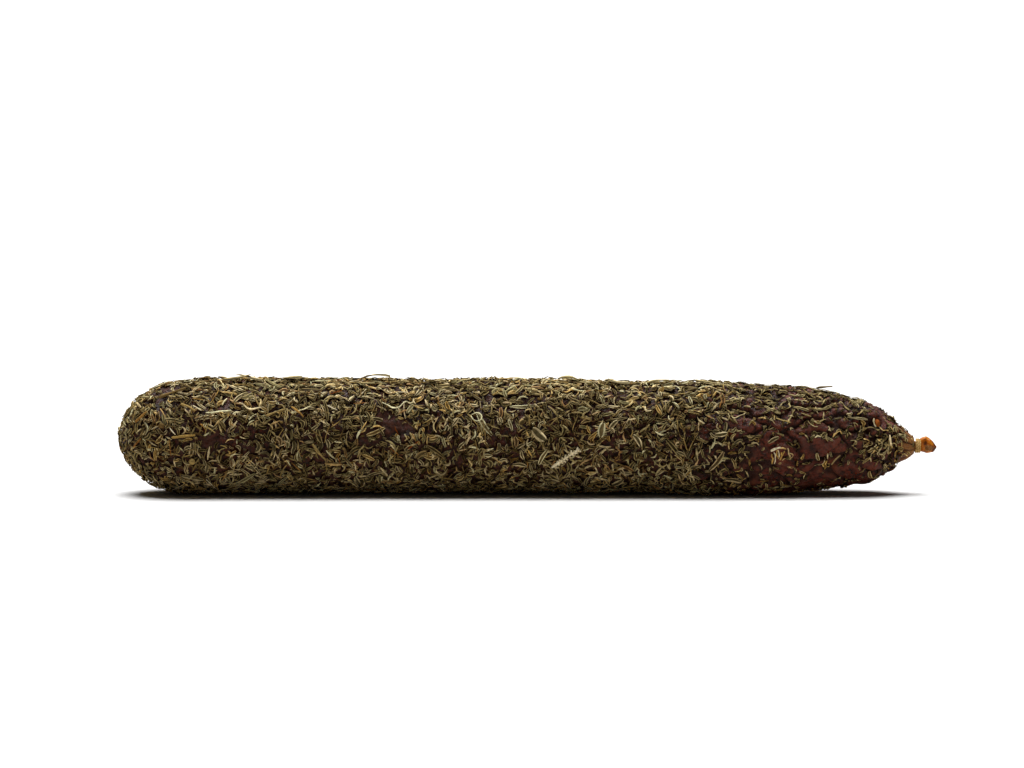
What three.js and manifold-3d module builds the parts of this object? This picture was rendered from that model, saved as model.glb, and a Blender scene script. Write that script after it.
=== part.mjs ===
// A herb-coated dry sausage lying on its side: one filled casing with a gathered neck and a dried
// tail, a matted coat of dried herbs, a twine tie, and the herb pieces that stand out one by one.
// Millimetres. +X runs towards the tied end, -Y is the front, +Z is up.

import * as THREE from 'three';
import { mergeVertices } from 'three/addons/utils/BufferGeometryUtils.js';
import Module from 'manifold-3d';

// Driving dimensions
const overallLength = 270; // blind end to the tip of the dried tail
const bodyDiameter = 39.2; // over the herbs, at mid length
const coatThickness = 1.1; // matted herbs
const gap = 0.3; // clearance between touching pieces
const pressedFlat = 0.5; // how far the underside is squashed by its own weight
const blindEndLength = 22.6; // the rounded end, tip to full diameter
const coatEnd = 258.6; // where the herbs stop, short of the neck
const neckStart = 262.6; // the tied stretch of the casing
const neckEnd = 265.5;
const neckRadius = 1.6;
const tailRadius = 2.45;
const sideBow = 1.6; // natural curve of the sausage, seen from above
const pleatCount = 9;
const pleatDepth = 0.13; // of the local radius
const twineDiameter = 0.72;
const twineTurns = 2.5;
const roundSegments = 32;

const coatHeight = gap + coatThickness; // from the casing's skin to the outside of the herbs
const skinRadius = bodyDiameter / 2 - coatHeight;
const axisHeight = bodyDiameter / 2 - pressedFlat;
const shoulder = coatHeight + blindEndLength;
const degree = Math.PI / 180;

const { clamp, smoothstep } = THREE.MathUtils;

const wasm = await Module();
wasm.setup();

// The casing's outline: distance from the blind end against radius

const blindEnd = new THREE.EllipseCurve(
  shoulder, 0, blindEndLength, skinRadius, Math.PI, Math.PI / 2, true);

const taper = new THREE.SplineCurve([
  new THREE.Vector2(shoulder, skinRadius),
  new THREE.Vector2(90, skinRadius),
  new THREE.Vector2(146, skinRadius * 0.993),
  new THREE.Vector2(181, skinRadius * 0.965),
  new THREE.Vector2(205, skinRadius * 0.945),
  new THREE.Vector2(220, skinRadius * 0.89),
  new THREE.Vector2(232, skinRadius * 0.81),
  new THREE.Vector2(243, skinRadius * 0.715),
  new THREE.Vector2(250.5, skinRadius * 0.61),
  new THREE.Vector2(255.5, skinRadius * 0.475),
  new THREE.Vector2(259.3, skinRadius * 0.28),
  new THREE.Vector2(neckStart, neckRadius),
  new THREE.Vector2(neckEnd, neckRadius),
  new THREE.Vector2(neckEnd + 1.1, tailRadius),
  new THREE.Vector2(overallLength - 1.6, tailRadius * 0.9),
  new THREE.Vector2(overallLength, 0),
]);

const outline = new THREE.CurvePath();
outline.add(blindEnd);
outline.add(taper);
const outlineLength = outline.getLength();

// Height of the sausage's middle line: it lies flat, then lifts slightly and droops to the tail
const middleLine = new THREE.SplineCurve([
  new THREE.Vector2(0, axisHeight),
  new THREE.Vector2(75, axisHeight),
  new THREE.Vector2(150, axisHeight - 0.1),
  new THREE.Vector2(200, axisHeight - 0.9),
  new THREE.Vector2(240, axisHeight - 1.0),
  new THREE.Vector2(255, axisHeight - 2.3),
  new THREE.Vector2(overallLength, axisHeight - 3.6),
]);

function valueAt(curve, x) {
  let low = 0;
  let high = 1;
  for (let i = 0; i < 30; i++) {
    const middle = (low + high) / 2;
    if (curve.getPoint(middle).x < x) low = middle;
    else high = middle;
  }
  return low;
}

function arcAt(x) {
  return valueAt(outline, x) * outlineLength;
}

function outlinePoint(arc, offset) {
  const t = clamp(arc / outlineLength, 0, 1);
  const point = outline.getPoint(t);
  const tangent = outline.getTangent(t);
  const onAxis = t === 0 || t === 1;
  return new THREE.Vector2(point.x - tangent.y * offset, onAxis ? 0 : point.y + tangent.x * offset);
}

// Relative swelling of the skin: slow dents along the body, pleats where the casing is gathered
function swelling(x, angle) {
  const dents = 0.008 * Math.sin(x / 13 + 2 * angle) + 0.006 * Math.sin(x / 7.5 - 3 * angle + 1.3);
  const gathered = smoothstep(x, 248, 261) * (1 - smoothstep(x, 260.5, neckStart));
  const folded = smoothstep(x, neckEnd, neckEnd + 1.5);
  const pleats = pleatDepth * gathered * Math.cos(pleatCount * angle + 0.8 * Math.sin(x / 3));
  const tailFolds = 0.22 * folded * Math.cos(3 * angle + 0.9);
  return 1 + dents * (1 - gathered) * (1 - folded) + pleats + tailFolds;
}

// A point above the skin. The angle starts at the front and turns up over the top.
function skinPoint(arc, angle, offset) {
  const { x, y: radius } = outlinePoint(arc, offset);
  const size = radius * swelling(x, angle);
  const height = middleLine.getPoint(valueAt(middleLine, x)).y;
  const side = sideBow * Math.sin(Math.PI * clamp(x / overallLength, 0, 1));
  const lowest = coatHeight - offset;
  return new THREE.Vector3(
    x, side - size * Math.cos(angle), Math.max(height + size * Math.sin(angle), lowest));
}

// Mesh and solid helpers

function weld(geometry) {
  geometry.deleteAttribute('normal');
  geometry.deleteAttribute('uv');
  const merged = mergeVertices(geometry, 1e-4);
  const index = merged.index.array;
  const kept = [];
  for (let i = 0; i < index.length; i += 3) {
    const [a, b, c] = [index[i], index[i + 1], index[i + 2]];
    if (a !== b && b !== c && c !== a) kept.push(a, b, c);
  }
  merged.setIndex(kept);
  return merged;
}

function toSolid(geometry) {
  const welded = weld(geometry);
  return new wasm.Manifold(new wasm.Mesh({
    numProp: 3,
    vertProperties: new Float32Array(welded.attributes.position.array),
    triVerts: new Uint32Array(welded.index.array),
  }));
}

function toGeometry(solid) {
  const mesh = solid.getMesh();
  const geometry = new THREE.BufferGeometry();
  geometry.setAttribute('position', new THREE.BufferAttribute(mesh.vertProperties, 3));
  geometry.setIndex(new THREE.BufferAttribute(mesh.triVerts, 1));
  return geometry;
}

function joined(geometries) {
  const solids = geometries.map(toSolid);
  return toGeometry(solids.reduce((sum, solid) => sum.add(solid)));
}

// A closed skin around the sausage from a list of rows, each at an arc and a height above the casing
function skinFrom(rows) {
  const flat = rows.map(({ arc, offset }) => {
    const point = outlinePoint(arc, offset);
    return new THREE.Vector2(point.y, point.x);
  });
  const geometry = new THREE.LatheGeometry(flat, roundSegments);
  const position = geometry.attributes.position;
  for (let i = 0; i < position.count; i++) {
    const { arc, offset } = rows[i % rows.length];
    const angle = Math.PI / 2 - Math.floor(i / rows.length) / roundSegments * 2 * Math.PI;
    position.setXYZ(i, ...skinPoint(arc, angle, offset));
  }
  return weld(geometry);
}

function rowArcs(lastX) {
  const spans = [
    { to: shoulder, rows: 8 },
    { to: 200, rows: 12 },
    { to: 245, rows: 7 },
    { to: neckStart, rows: 9 },
    { to: overallLength, rows: 10 },
  ];
  const arcs = [0];
  let from = 0;
  for (const { to, rows } of spans) {
    const end = to === overallLength ? outlineLength : arcAt(to);
    for (let i = 1; i <= rows; i++) arcs.push(from + (end - from) * i / rows);
    from = end;
  }
  return arcs.filter((arc) => arc <= arcAt(lastX) || lastX === overallLength);
}

// Lays a shape modelled flat (x along, y across, z outwards) on the sausage
function layOnSkin(geometry, { x, angle, heading = 0, lift }) {
  const arc = arcAt(x);
  const radius = outlinePoint(arc, coatHeight).y;
  const position = geometry.attributes.position;
  const [cos, sin] = [Math.cos(heading * degree), Math.sin(heading * degree)];
  for (let i = 0; i < position.count; i++) {
    const [u, v, w] = [position.getX(i), position.getY(i), position.getZ(i)];
    const along = u * cos - v * sin;
    const around = u * sin + v * cos;
    position.setXYZ(i, ...skinPoint(arc + along, angle * degree + around / radius, lift + w));
  }
  return geometry;
}

// Materials

function finish(color, roughness) {
  return new THREE.MeshStandardMaterial({ color, roughness, metalness: 0 });
}

const casingFinish = finish(0x4a2620, 0.45);
const herbFinish = finish(0x5c5438, 0.8);
const stalkFinish = finish(0xa8864a, 0.7);
const seedFinish = finish(0x8a4a1e, 0.5);
const twineFinish = finish(0xcdb88a, 0.85);

// Filled casing, gathered neck and dried tail: one piece

function sausageBody() {
  return skinFrom(rowArcs(overallLength).map((arc) => ({ arc, offset: 0 })));
}

// Herb coat: a sleeve closed over the blind end, open at the neck, with bare patches cut through

const barePatches = [
  { x: 19, angle: 66, length: 9, width: 5, heading: 20 },
  { x: 21, angle: -34, length: 10, width: 5, heading: 60 },
  { x: 34, angle: -4, length: 15, width: 8, heading: 10 },
  { x: 38, angle: 36, length: 14, width: 5, heading: 5 },
  { x: 93, angle: 15, length: 16, width: 9, heading: -10 },
  { x: 122, angle: 47, length: 12, width: 6, heading: 0 },
  { x: 148, angle: -20, length: 7, width: 5, heading: 30 },
  { x: 159, angle: 35, length: 10, width: 5, heading: 0 },
  { x: 206, angle: 38, length: 17, width: 6, heading: -12 },
  { x: 207, angle: -12, length: 22, width: 8, heading: -8 },
  { x: 221, angle: 22, length: 20, width: 7, heading: -6 },
  { x: 222, angle: -40, length: 22, width: 8, heading: 0 },
  { x: 233, angle: -10, length: 18, width: 9, heading: 12 },
  { x: 239, angle: 38, length: 10, width: 5, heading: 25 },
  { x: 245, angle: -38, length: 17, width: 7, heading: 8 },
  { x: 250, angle: 68, length: 12, width: 6, heading: 10 },
  { x: 46, angle: 150, length: 14, width: 7, heading: 25 },
  { x: 84, angle: 196, length: 18, width: 8, heading: -15 },
  { x: 118, angle: 138, length: 13, width: 6, heading: 5 },
  { x: 152, angle: 172, length: 16, width: 9, heading: 12 },
  { x: 186, angle: 205, length: 19, width: 8, heading: -8 },
  { x: 204, angle: 150, length: 18, width: 8, heading: 18 },
  { x: 226, angle: 190, length: 21, width: 9, heading: 0 },
  { x: 240, angle: 150, length: 15, width: 7, heading: -12 },
  { x: 247, angle: 215, length: 12, width: 6, heading: 10 },
];

// A blob with a wavy outline that reaches through the whole coat
function patchCutter({ length, width, ...place }) {
  const blob = new THREE.SphereGeometry(1, 10, 4).rotateX(Math.PI / 2);
  const position = blob.attributes.position;
  for (let i = 0; i < position.count; i++) {
    const [x, y] = [position.getX(i), position.getY(i)];
    const turn = Math.atan2(y, x);
    const wave = 1 + 0.16 * Math.sin(2 * turn + place.x) + 0.14 * Math.sin(3 * turn + place.angle);
    position.setXY(i, x * wave, y * wave);
  }
  blob.scale(length / 2, width / 2, 2 * coatThickness);
  return toSolid(layOnSkin(blob, { ...place, lift: coatHeight - coatThickness / 2 }));
}

function herbCoat() {
  const arcs = rowArcs(coatEnd);
  const outside = arcs.map((arc) => ({ arc, offset: coatHeight }));
  const inside = arcs.map((arc) => ({ arc, offset: gap })).reverse();
  const sleeve = toSolid(skinFrom([...outside, ...inside]));
  return toGeometry(barePatches.reduce((coat, patch) => coat.subtract(patchCutter(patch)), sleeve));
}

// Twine tie: turns around the neck, a knot on top and two clipped ends

class TwineHelix extends THREE.Curve {
  constructor(centre, radius, length, turns) {
    super();
    Object.assign(this, { centre, radius, length, turns });
  }

  getPoint(t) {
    const angle = Math.PI / 2 + 2 * Math.PI * this.turns * t;
    return new THREE.Vector3(
      this.centre.x + this.length * (t - 0.5),
      this.centre.y - this.radius * Math.cos(angle),
      this.centre.z + this.radius * Math.sin(angle));
  }
}

function neckTie() {
  const middle = (neckStart + neckEnd) / 2;
  const height = middleLine.getPoint(valueAt(middleLine, middle)).y;
  const side = sideBow * Math.sin(Math.PI * middle / overallLength);
  const centre = new THREE.Vector3(middle, side, height);
  const turnRadius = neckRadius + gap + twineDiameter / 2;
  const pitch = twineDiameter * 1.03;
  const helix = new TwineHelix(centre, turnRadius, pitch * twineTurns, twineTurns);
  const section = new THREE.Shape().absarc(0, 0, twineDiameter / 2, 0, 2 * Math.PI);
  const turns = new THREE.ExtrudeGeometry(section, {
    extrudePath: helix, steps: 32, curveSegments: 4, bevelEnabled: false,
  });
  const knotHeight = centre.z + turnRadius + twineDiameter * 0.35;
  const knot = new THREE.SphereGeometry(twineDiameter, 10, 7)
    .scale(1.25, 1.0, 0.8)
    .translate(centre.x - 0.1, centre.y - 0.7, knotHeight);
  const clippedEnd = (lean, turn) => new THREE.CapsuleGeometry(twineDiameter / 2, 1.5, 2, 8)
    .translate(0, 0.95, 0)
    .rotateX(lean)
    .rotateZ(turn)
    .translate(centre.x - 0.1, centre.y - 0.7, knotHeight);
  return joined([turns, knot, clippedEnd(2.2, 0.5), clippedEnd(1.9, -0.6)]);
}

// Single herb pieces, modelled flat with +X along the piece

function stalk(length, width) {
  return new THREE.CapsuleGeometry(width / 2, length - width, 1, 6, 4).rotateZ(-Math.PI / 2);
}

function leaf(length, width) {
  return new THREE.SphereGeometry(0.5, 8, 6).rotateZ(Math.PI / 2).scale(length, width, 0.55);
}

function bud(length, width) {
  return new THREE.SphereGeometry(0.5, 8, 6).scale(length, width, width);
}

function flowerSpike(length, width) {
  const floretCount = 6;
  const pieces = [stalk(length, width * 0.35)];
  for (let i = 0; i < floretCount; i++) {
    const lean = i % 2 ? 0.6 : -0.6;
    const along = (i / (floretCount - 1) - 0.5) * length * 0.72;
    pieces.push(new THREE.SphereGeometry(0.5, 6, 4)
      .scale(length * 0.24, width * 0.5, width * 0.42)
      .rotateZ(lean)
      .translate(along, Math.sign(lean) * width * 0.22, 0));
  }
  return joined(pieces);
}

function flowerFringe(length, width) {
  const strandCount = 6;
  const pieces = [stalk(length, 0.7)];
  for (let i = 0; i < strandCount; i++) {
    const along = ((i + 0.5) / strandCount - 0.5) * length;
    pieces.push(stalk(width, 0.55)
      .rotateZ(Math.PI / 2 + 0.35 * Math.sin(2.1 * i))
      .translate(along, -width * 0.42, 0));
  }
  return joined(pieces);
}

const shapes = { stalk, leaf, bud, seed: bud, flower_spike: flowerSpike, flower_fringe: flowerFringe };

const finishes = {
  stalk: stalkFinish,
  leaf: herbFinish,
  bud: stalkFinish,
  seed: seedFinish,
  flower_spike: stalkFinish,
  flower_fringe: stalkFinish,
};

const herbPieces = [
  { kind: 'stalk', x: 24.4, angle: 35, length: 5.4, width: 0.8, heading: -29 },
  { kind: 'stalk', x: 23.4, angle: 6, length: 7.8, width: 0.95, heading: 6 },
  { kind: 'stalk', x: 9.4, angle: 27, length: 5.2, width: 0.85, heading: 30 },
  { kind: 'stalk', x: 8.2, angle: 52, length: 4.2, width: 0.75, heading: -62 },
  { kind: 'stalk', x: 19, angle: 55, length: 9.2, width: 0.8, heading: 16 },
  { kind: 'stalk', x: 52.5, angle: 30, length: 6.6, width: 0.75, heading: 20 },
  { kind: 'stalk', x: 59.5, angle: 28, length: 5.6, width: 0.8, heading: -42 },
  { kind: 'stalk', x: 72, angle: -24, length: 5.8, width: 1.0, heading: -2 },
  { kind: 'stalk', x: 67.5, angle: -10, length: 7.2, width: 0.95, heading: -52 },
  { kind: 'stalk', x: 236, angle: -19, length: 4.4, width: 0.55, heading: 45 },
  { kind: 'stalk', x: 253, angle: 8, length: 4.0, width: 0.8, heading: 86 },
  { kind: 'leaf', x: 139.8, angle: -14, length: 6.0, width: 1.2, heading: 60 },
  { kind: 'leaf', x: 138.8, angle: 3, length: 5.6, width: 2.4, heading: -40 },
  { kind: 'leaf', x: 159, angle: 11, length: 4.8, width: 2.0, heading: 8 },
  { kind: 'leaf', x: 199.2, angle: 9, length: 4.2, width: 1.4, heading: 14 },
  { kind: 'leaf', x: 202.8, angle: -39, length: 5.2, width: 1.5, heading: 4 },
  { kind: 'leaf', x: 216.3, angle: 6, length: 4.0, width: 1.2, heading: 32 },
  { kind: 'bud', x: 16, angle: 16, length: 1.9, width: 1.6, heading: 0 },
  { kind: 'bud', x: 25.6, angle: -19, length: 2.0, width: 1.9, heading: 0 },
  { kind: 'seed', x: 250.4, angle: 33, length: 2.9, width: 2.1, heading: 84 },
  { kind: 'flower_spike', x: 148, angle: -20, length: 11.4, width: 3.0, heading: 32 },
  { kind: 'flower_fringe', x: 218, angle: -4, length: 7.6, width: 4.4, heading: 4 },
];

function herbPiece({ kind, length, width, ...place }) {
  const shape = shapes[kind](length, width);
  shape.computeBoundingBox();
  const lift = coatHeight + gap - shape.boundingBox.min.z;
  return weld(layOnSkin(shape, { ...place, lift }));
}

// Assembly

const sausage = new THREE.Group();

function add(name, geometry, material) {
  const mesh = new THREE.Mesh(geometry, material);
  mesh.name = name;
  sausage.add(mesh);
}

add('sausage_body', sausageBody(), casingFinish);
add('herb_coat', herbCoat(), herbFinish);
add('neck_tie', neckTie(), twineFinish);

const counts = {};
for (const piece of herbPieces) {
  counts[piece.kind] = (counts[piece.kind] ?? 0) + 1;
  const name = `${piece.kind}_${String(counts[piece.kind]).padStart(2, '0')}`;
  add(name, herbPiece(piece), finishes[piece.kind]);
}

// The origin is at the middle of the footprint, on the surface that the sausage lies on
const box = new THREE.Box3().setFromObject(sausage, true);
sausage.position.set(-(box.min.x + box.max.x) / 2, -(box.min.y + box.max.y) / 2, -box.min.z);

export default sausage;
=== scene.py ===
import math
import random

import bmesh
import bpy
import numpy as np
from mathutils import Matrix, Vector, noise
from mathutils.bvhtree import BVHTree
from mathutils.kdtree import KDTree


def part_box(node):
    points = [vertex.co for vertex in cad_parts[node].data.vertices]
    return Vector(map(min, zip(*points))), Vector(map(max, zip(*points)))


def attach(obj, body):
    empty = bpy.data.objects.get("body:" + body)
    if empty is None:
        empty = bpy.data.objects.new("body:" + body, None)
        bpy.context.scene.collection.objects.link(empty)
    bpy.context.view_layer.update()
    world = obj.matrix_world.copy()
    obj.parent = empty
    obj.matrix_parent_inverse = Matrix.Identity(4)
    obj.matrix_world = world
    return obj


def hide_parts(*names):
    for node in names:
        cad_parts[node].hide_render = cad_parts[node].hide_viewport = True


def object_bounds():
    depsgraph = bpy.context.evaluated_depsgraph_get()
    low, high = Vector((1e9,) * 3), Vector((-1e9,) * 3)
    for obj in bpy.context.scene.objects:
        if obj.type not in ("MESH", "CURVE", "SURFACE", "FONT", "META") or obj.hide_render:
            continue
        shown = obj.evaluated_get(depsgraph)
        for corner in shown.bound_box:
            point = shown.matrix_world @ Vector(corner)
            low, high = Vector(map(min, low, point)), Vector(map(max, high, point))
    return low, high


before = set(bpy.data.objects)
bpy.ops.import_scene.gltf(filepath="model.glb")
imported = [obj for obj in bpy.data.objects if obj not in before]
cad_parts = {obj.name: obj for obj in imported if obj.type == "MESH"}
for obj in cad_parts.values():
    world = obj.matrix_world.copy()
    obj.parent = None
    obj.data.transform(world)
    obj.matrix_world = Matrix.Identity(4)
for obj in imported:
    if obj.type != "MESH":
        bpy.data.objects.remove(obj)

mm = 0.001
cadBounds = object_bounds()
low, high = cadBounds
sausageLength = high.x - low.x
sausageHeight = high.z - low.z
neckLow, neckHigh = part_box("neck_tie")


def smoothStep(value, start, end):
    t = min(max((value - start) / (end - start), 0.0), 1.0)
    return t * t * (3 - 2 * t)


def smoothAll(bm, factor):
    bmesh.ops.smooth_vert(bm, verts=bm.verts, factor=factor, use_axis_x=True, use_axis_y=True,
                          use_axis_z=True)


# The points of a mesh as rows of x, y and z
def placesOf(mesh):
    places = np.empty(len(mesh.vertices) * 3)
    mesh.vertices.foreach_get("co", places)
    return places.reshape(-1, 3)


def cadCopy(nodeName):
    bm = bmesh.new()
    bm.from_mesh(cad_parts[nodeName].data)
    bmesh.ops.remove_doubles(bm, verts=bm.verts, dist=0.002 * mm)
    return bm


def toMesh(name, bm):
    mesh = bpy.data.meshes.new(name)
    for face in bm.faces:
        face.smooth = True
    bm.to_mesh(mesh)
    bm.free()
    return mesh


def addObject(name, data):
    item = bpy.data.objects.new(name, data)
    bpy.context.scene.collection.objects.link(item)
    return item


def finishPiece(name, bm, material, replaced):
    piece = addObject(name, toMesh(name, bm))
    piece.data.materials.append(material)
    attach(piece, "root")
    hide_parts(*replaced)
    return piece


# node trees

def newMaterial(name):
    material = bpy.data.materials.new(name)
    material.use_nodes = True
    tree = material.node_tree
    shader = tree.nodes["Principled BSDF"]
    return material, tree, shader


# Puts a link, a number, a colour or a vector on a socket
def feed(tree, socket, value):
    if isinstance(value, bpy.types.NodeSocket):
        tree.links.new(value, socket)
    elif socket.type == "RGBA":
        socket.default_value = (*value, 1)
    else:
        socket.default_value = value


def feedAll(tree, node, inputs):
    for key, value in inputs.items():
        feed(tree, node.inputs[key], value)


def addNode(tree, kind, inputs=None, **settings):
    node = tree.nodes.new(kind)
    for key, value in settings.items():
        setattr(node, key, value)
    feedAll(tree, node, inputs or {})
    return node


def addRamp(tree, factor, stops):
    node = addNode(tree, "ShaderNodeValToRGB", {"Fac": factor})
    ramp = node.color_ramp
    while len(ramp.elements) < len(stops):
        ramp.elements.new(0.5)
    for element, (position, colour) in zip(ramp.elements, stops):
        element.position = position
        element.color = (*colour, 1)
    return node.outputs["Color"]


def mixColour(tree, factor, first, second, mode="MIX"):
    node = addNode(tree, "ShaderNodeMix", data_type="RGBA", blend_type=mode)
    feedAll(tree, node, {0: factor, 6: first, 7: second})
    return node.outputs[2]


def remap(tree, value, fromLow, fromHigh, toLow=0.0, toHigh=1.0):
    inputs = {"Value": value, "From Min": fromLow, "From Max": fromHigh, "To Min": toLow, "To Max": toHigh}
    return addNode(tree, "ShaderNodeMapRange", inputs, interpolation_type="SMOOTHSTEP").outputs["Result"]


# First value times the second, plus the third where there is one
def multiply(tree, first, second, third=None):
    if third is None:
        return addNode(tree, "ShaderNodeMath", {0: first, 1: second}, operation="MULTIPLY").outputs[0]
    inputs = {0: first, 1: second, 2: third}
    return addNode(tree, "ShaderNodeMath", inputs, operation="MULTIPLY_ADD").outputs[0]


# Mottling and fine relief shared by the skin, its tail and the twine
def buildUnevenSurface():
    group = bpy.data.node_groups.new("unevenSurface", "ShaderNodeTree")
    face = group.interface
    face.new_socket("Vector", in_out="INPUT", socket_type="NodeSocketVector")
    for name, value in (("Size", 200.0), ("Detail", 4.0), ("Relief", 0.3), ("Depth", 0.0002)):
        socket = face.new_socket(name, in_out="INPUT", socket_type="NodeSocketFloat")
        socket.default_value = value
    face.new_socket("Mottle", in_out="OUTPUT", socket_type="NodeSocketFloat")
    face.new_socket("Height", in_out="OUTPUT", socket_type="NodeSocketFloat")
    face.new_socket("Normal", in_out="OUTPUT", socket_type="NodeSocketVector")
    start = group.nodes.new("NodeGroupInput").outputs
    end = group.nodes.new("NodeGroupOutput").inputs
    broad = addNode(group, "ShaderNodeTexNoise", {
        "Vector": start["Vector"], "Scale": start["Size"], "Detail": start["Detail"], "Roughness": 0.6})
    fine = addNode(group, "ShaderNodeTexNoise", {
        "Vector": start["Vector"], "Scale": multiply(group, start["Size"], 4.3), "Detail": 3.0,
        "Roughness": 0.65})
    height = multiply(group, fine.outputs["Fac"], 0.45, broad.outputs["Fac"])
    bump = addNode(group, "ShaderNodeBump", {
        "Strength": start["Relief"], "Distance": start["Depth"], "Height": height})
    group.links.new(broad.outputs["Fac"], end["Mottle"])
    group.links.new(height, end["Height"])
    group.links.new(bump.outputs["Normal"], end["Normal"])
    return group


unevenSurface = buildUnevenSurface()


def addUneven(tree, vector, **values):
    inputs = {"Vector": vector, **values}
    return addNode(tree, "ShaderNodeGroup", inputs, node_tree=unevenSurface).outputs


# Middle of the sausage along its length, taken from slices of the CAD body
def centreLine(nodeName, slices=40):
    places = placesOf(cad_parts[nodeName].data)
    edges = np.linspace(low.x, high.x, slices + 1)
    middles = []
    for start, end in zip(edges[:-1], edges[1:]):
        part = places[(places[:, 0] >= start - 2 * mm) & (places[:, 0] <= end + 2 * mm)]
        if len(part) > 20:
            middle = (part.min(axis=0) + part.max(axis=0)) / 2
            middles.append((middle[0], middle[1], middle[2]))
    return np.array(middles)


middles = centreLine("sausage_body")


def middleAt(x):
    return np.interp(x, middles[:, 0], middles[:, 1]), np.interp(x, middles[:, 0], middles[:, 2])


# The seed lies in a pit: where it is, which way the pit opens, and the pit's own middle
pit = {
    "shift": (-1.0, 0, 0.8), # from the middle of the seed's CAD solid, in mm
    "back": 2.0 * mm, # how far the pit leans towards the blind end
    "sunk": 1.7 * mm,
    "seedSunk": 1.5 * mm,
    "radius": (1.7, 3.0), # flat bottom and outer edge, in mm
    "depth": 1.9,
    "rim": (3.5, 0.6, 0.7), # distance, breadth and height of the raised rim, in mm
    "clear": 3.6 * mm, # kept free of herbs
}
seedLow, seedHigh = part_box("seed_01")
seedPlace = (seedLow + seedHigh) / 2 + Vector(pit["shift"]) * mm
seedMiddle = Vector((seedPlace.x - pit["back"], *middleAt(seedPlace.x - pit["back"])))
seedOut = (seedPlace - seedMiddle).normalized()
seedPit = seedPlace - seedOut * pit["sunk"]


# How far the pit is open at a place, from 0 to 1, and its height there
def pitAt(place):
    away = (place - seedPit).length / mm
    opened = 1 - smoothStep(away, *pit["radius"])
    rimAt, breadth, rise = pit["rim"]
    return opened, (rise * math.exp(-((away - rimAt) / breadth) ** 2) - pit["depth"] * opened) * mm


casing = {
    "voxel": 0.62 * mm, # size of the even faces the skin is made of
    "smoothing": 5, # rounds
    "lumpSize": 5.0 * mm,
    "lumpDepth": 0.5 * mm,
    "foldSize": 6.0 * mm,
    "foldDepth": 1.6 * mm,
    "creaseSize": 2.9 * mm,
    "creaseDepth": 0.5 * mm,
    "wrinkleSize": 1.3 * mm,
    "wrinkleDepth": 0.23 * mm,
    "pleats": 9,
    "pleatDepth": 0.55 * mm,
    "looseFrom": 0.64, # share of the length past which the skin is bare and loose
    "fullness": 1.15 * mm, # how far the loose skin stands out
    "coveredFullness": 0.2 * mm, # and the skin under the herbs
    "bellyFullness": 1.1 * mm, # added underneath
    "gloss": 0.36,
    # gloss of the shaded copy of the skin under the herbs: its reflections are painted out as shade
    "coveredGloss": 0.04,
    "maroon": (0.15, 0.021, 0.006),
    "purple": (0.125, 0.042, 0.026),
    "dark": (0.024, 0.004, 0.001),
    "rust": (0.23, 0.058, 0.013),
    "amber": (0.36, 0.15, 0.027),
    "crest": (0.215, 0.046, 0.018),
    # painted shade: near-black colour mixed into the skin where herbs lie over it
    "paintedShadeUnderHerbs": (0.014, 0.005, 0.001), # under the herbs
}


def casingMaterial(look, name, specular):
    material, tree, shader = newMaterial(name)
    place = addNode(tree, "ShaderNodeTexCoord").outputs["Object"]
    deep = addNode(tree, "ShaderNodeAttribute", attribute_name="deep").outputs["Fac"]
    under = addNode(tree, "ShaderNodeAttribute", attribute_name="under").outputs["Fac"]
    broad = addUneven(tree, place, Size=95.0, Detail=5.0, Relief=0.25, Depth=0.0004)
    spots = addUneven(tree, place, Size=480.0, Detail=6.0, Relief=1.0, Depth=0.0012)
    colour = addRamp(tree, spots["Mottle"], [
        (0.4, look["dark"]), (0.5, look["maroon"]), (0.62, look["purple"])])
    greyed = remap(tree, broad["Height"], 0.66, 0.9, 0.0, 0.5)
    colour = mixColour(tree, greyed, colour, look["purple"])
    rust = remap(tree, broad["Mottle"], 0.56, 0.67, 0.0, 0.6)
    colour = mixColour(tree, rust, colour, look["rust"])
    along = addNode(tree, "ShaderNodeSeparateXYZ", {0: place}).outputs["X"]
    wander = multiply(tree, spots["Mottle"], 16 * mm, along)
    drying = remap(tree, wander, neckLow.x + 1.5 * mm, neckLow.x + 7.5 * mm, 0.0, 0.9)
    colour = mixColour(tree, drying, colour, look["amber"])
    colour = mixColour(tree, remap(tree, deep, -0.05, -0.7, 0.0, 0.55), colour, look["crest"])
    # Painted shade: the skin darkens towards the dark colour in folds, creases, neck pleats and the seed
    # pit, by the deep attribute
    colour = mixColour(tree, remap(tree, deep, 0.1, 0.85, 0.0, 0.9), colour, look["dark"])
    # Painted shade: the skin turns near black where herbs over it keep the light off
    colour = mixColour(tree, remap(tree, under, 0.0, 1.0, 0.0, 0.88), colour, look["paintedShadeUnderHerbs"])
    feedAll(tree, shader, {
        "Base Color": colour, "Roughness": remap(tree, broad["Mottle"], 0.35, 0.65, 0.26, 0.46),
        "Normal": spots["Normal"], "Specular IOR Level": specular, "Subsurface Weight": 0.05,
        "Subsurface Radius": (0.9, 0.25, 0.12), "Subsurface Scale": 1.0 * mm})
    return material


# A wandering offset made of three plain noises, because noise_vector varies from run to run
def wanderAt(place):
    return Vector((noise.noise(place + Vector((9.3, -1.5, -8.0))), noise.noise(place),
                   noise.noise(place + Vector((6.3, 0.2, -2.7)))))


# Long folds, small cells and neck pleats, each as a share of its own depth
def foldShare(place, look):
    bent = place + wanderAt(place / (11 * mm)) * 3.5 * mm
    along = Vector((bent.x * 0.42, bent.y, bent.z)) / look["foldSize"]
    valley = 1 - smoothStep(abs(noise.noise(along)), 0.0, 0.17)
    second = 1 - smoothStep(abs(noise.noise(along * 1.7 + Vector((7, 3, 5)))), 0.0, 0.16)
    return min(1.0, valley + 0.6 * second)


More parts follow.
